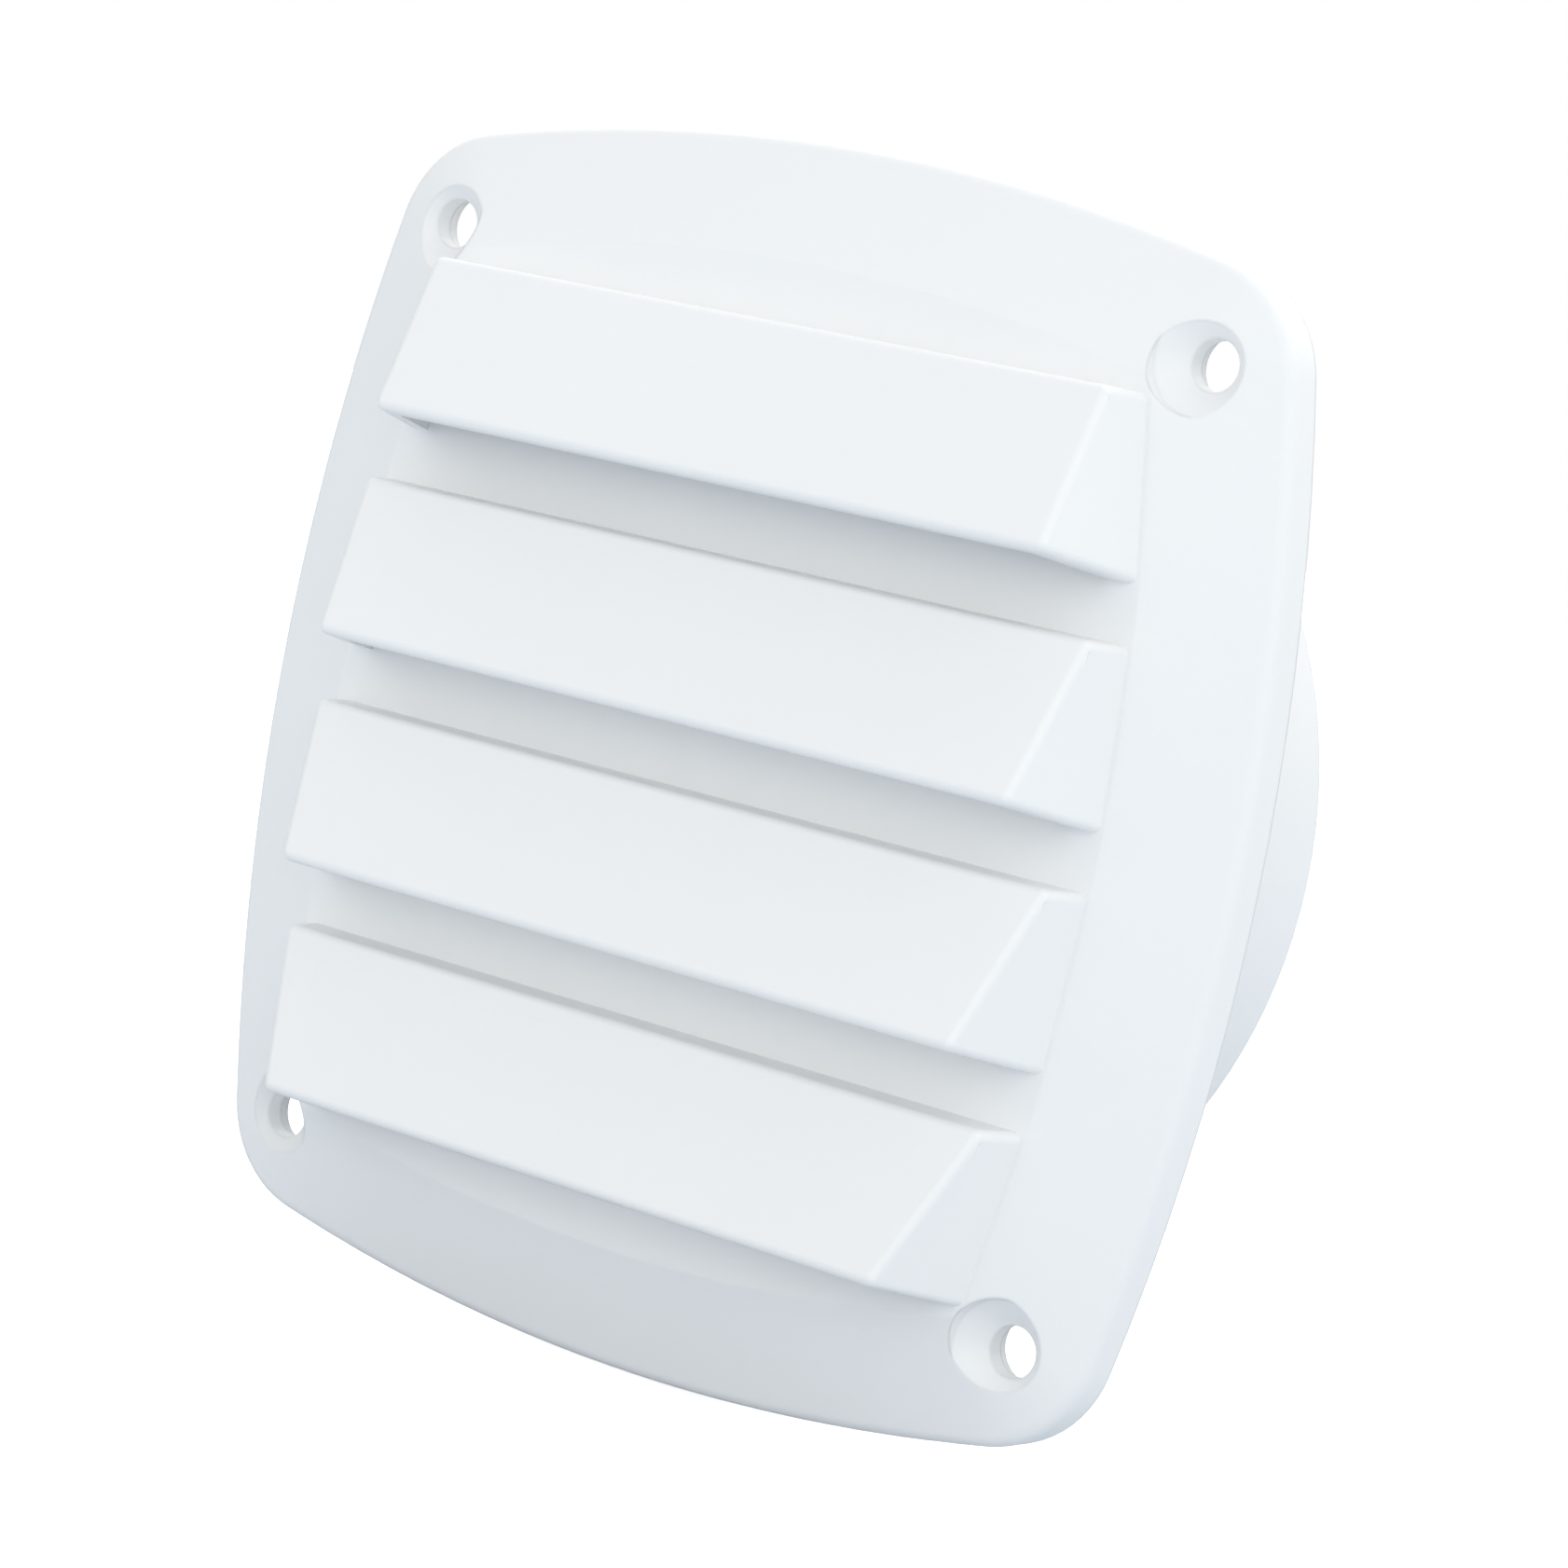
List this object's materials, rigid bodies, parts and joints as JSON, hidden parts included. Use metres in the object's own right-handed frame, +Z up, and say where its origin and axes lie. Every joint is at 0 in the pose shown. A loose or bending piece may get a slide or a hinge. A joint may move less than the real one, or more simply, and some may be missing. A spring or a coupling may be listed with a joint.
{
  "type": "louvred duct vent cover",
  "caption": "White louvred wall vent cover with rain hoods over slots, countersunk corner screw holes and a round hose spigot behind.",
  "frame": {"origin": "centre of the mounting plane, where the back edge of the rim meets the wall, on the axis of the duct spigot", "axes": "+Y along the spigot, into the wall; +Z up, towards the louvre hoods' closed tops; +X to the right seen from the front"},
  "size_m": [0.116, 0.0434, 0.122],
  "materials": {
    "white_plastic": "fine matt spark texture, UV-stable white ABS or ASA",
    "grey_mesh": "matt polypropylene mesh",
    "ring_plastic": "satin moulded acetal",
    "sheet_rubber": "black EPDM sheet rubber, fine matt skin"
  },
  "bodies": {
    "root": {"face_plate": "white_plastic", "top_louvre_hood": "white_plastic", "upper_louvre_hood": "white_plastic", "lower_louvre_hood": "white_plastic", "bottom_louvre_hood": "white_plastic", "duct_spigot": "white_plastic", "insect_screen": "grey_mesh", "screen_ring": "ring_plastic", "rear_gasket": "sheet_rubber"}
  },
  "joints": []
}
